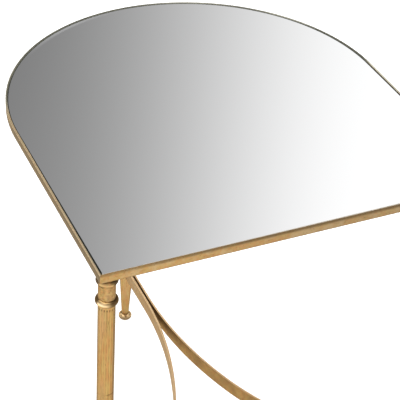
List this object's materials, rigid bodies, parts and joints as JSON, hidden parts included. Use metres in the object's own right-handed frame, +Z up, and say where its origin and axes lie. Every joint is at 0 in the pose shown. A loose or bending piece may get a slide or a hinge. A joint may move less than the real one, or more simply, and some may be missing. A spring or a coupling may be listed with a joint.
{
  "type": "mirror-topped side table",
  "caption": "Small D-shaped side table: a loose mirror pane in a gilded flat-bar rim, on three turned fluted legs with ball feet, tied by curved flat-bar stretchers.",
  "frame": {"origin": "on the floor, under the middle of the table's bounding box", "axes": "+Z up, +Y from the straight front edge to the round back, +X to the right seen from the front"},
  "size_m": [0.558, 0.6069, 0.645],
  "materials": {
    "gold_leaf": "gold leaf over primed iron, satin, worn brown in the hollows",
    "polished_gold": "burnished gilt casting",
    "dark_steel": "dark brown primer, matt",
    "hardboard": "smooth pressed fibre board",
    "mirror_glass": "polished, with a ground arris",
    "zinc_screw": "zinc plated",
    "nylon": "moulded"
  },
  "bodies": {
    "root": {"front_rail": "gold_leaf", "bent_rim": "gold_leaf", "front_ledge": "dark_steel", "right_ledge": "dark_steel", "left_ledge": "dark_steel", "backing_board": "hardboard", "mirror_pane": "mirror_glass", "right_stretcher": "gold_leaf", "left_stretcher": "gold_leaf", "front_stretcher": "gold_leaf", "front_left_gusset": "dark_steel", "front_left_leg_screw": "zinc_screw", "front_left_leg_flange": "gold_leaf", "front_left_leg_capital": "gold_leaf", "front_left_leg_bead": "gold_leaf", "front_left_leg_upper_shaft": "gold_leaf", "front_left_leg_coupling": "dark_steel", "front_left_leg_lower_shaft": "gold_leaf", "front_left_leg_foot": "gold_leaf", "front_left_leg_ball": "polished_gold", "front_left_leg_glide": "nylon", "front_right_gusset": "dark_steel", "front_right_leg_screw": "zinc_screw", "front_right_leg_flange": "gold_leaf", "front_right_leg_capital": "gold_leaf", "front_right_leg_bead": "gold_leaf", "front_right_leg_upper_shaft": "gold_leaf", "front_right_leg_coupling": "dark_steel", "front_right_leg_lower_shaft": "gold_leaf", "front_right_leg_foot": "gold_leaf", "front_right_leg_ball": "polished_gold", "front_right_leg_glide": "nylon", "rear_gusset": "dark_steel", "rear_leg_screw": "zinc_screw", "rear_leg_flange": "gold_leaf", "rear_leg_capital": "gold_leaf", "rear_leg_bead": "gold_leaf", "rear_leg_upper_shaft": "gold_leaf", "rear_leg_coupling": "dark_steel", "rear_leg_lower_shaft": "gold_leaf", "rear_leg_foot": "gold_leaf", "rear_leg_ball": "polished_gold", "rear_leg_glide": "nylon"}
  },
  "joints": []
}
